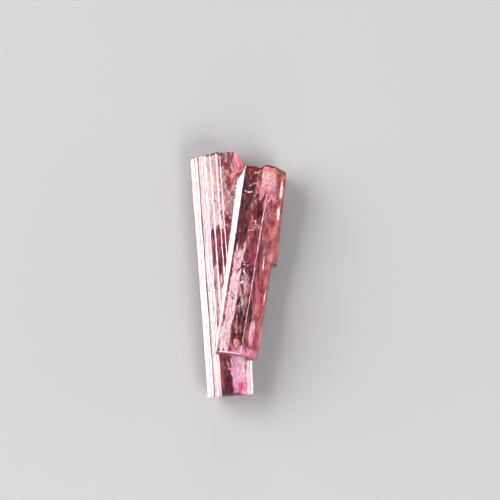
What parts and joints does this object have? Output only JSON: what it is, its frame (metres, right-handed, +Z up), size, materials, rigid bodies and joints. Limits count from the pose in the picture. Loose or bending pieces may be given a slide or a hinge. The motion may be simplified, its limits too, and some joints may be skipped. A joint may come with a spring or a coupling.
{
  "type": "tourmaline crystal",
  "caption": "See-through pink tourmaline: grooved prisms grown together along their length, with broken ends, lying on a flat underside; a mineral specimen for display.",
  "frame": {"origin": "middle of the stone's box, at the bottom, level with the surface it rests on", "axes": "+Y along the stone from its foot to its head, +X across it towards the slim crystal on its right flank, +Z up"},
  "size_m": [0.016, 0.041, 0.008],
  "materials": {
    "tourmaline": "clear pink stone with glassy grooved faces and dull broken ends"
  },
  "bodies": {
    "root": {"tourmaline_crystals": "tourmaline"}
  },
  "joints": []
}
